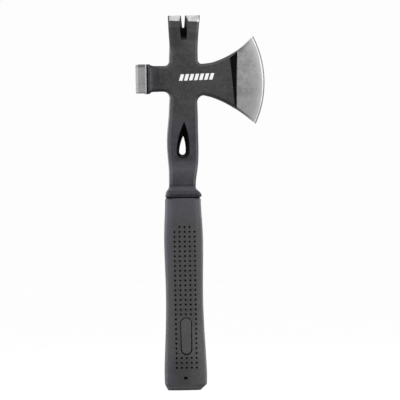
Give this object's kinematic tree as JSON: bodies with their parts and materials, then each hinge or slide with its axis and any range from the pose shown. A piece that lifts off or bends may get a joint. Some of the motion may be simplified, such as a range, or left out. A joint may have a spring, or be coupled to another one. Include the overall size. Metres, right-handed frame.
{
  "type": "multi-purpose hatchet",
  "caption": "One-piece steel hatchet with a flared blade, square hammer poll, straight nail claw, nail-puller hole in the neck and a dimpled rubber grip.",
  "frame": {"origin": "the point of the grip's flat butt end on the handle's axis", "axes": "+Z along the handle to the head, +X towards the cutting edge, -Y is the front face"},
  "size_m": [0.1097, 0.0272, 0.32],
  "materials": {
    "forging": "matte dark grey paint, with bare ground steel on the blade bevels, the hammer poll and the claw tips",
    "grip_rubber": "soft satin dark grey rubber with blind dimples",
    "inlay": "smooth satin dark grey rubber"
  },
  "bodies": {
    "root": {"forged_body": "forging", "grip_sleeve": "grip_rubber", "badge_front": "inlay", "badge_back": "inlay"}
  },
  "joints": []
}
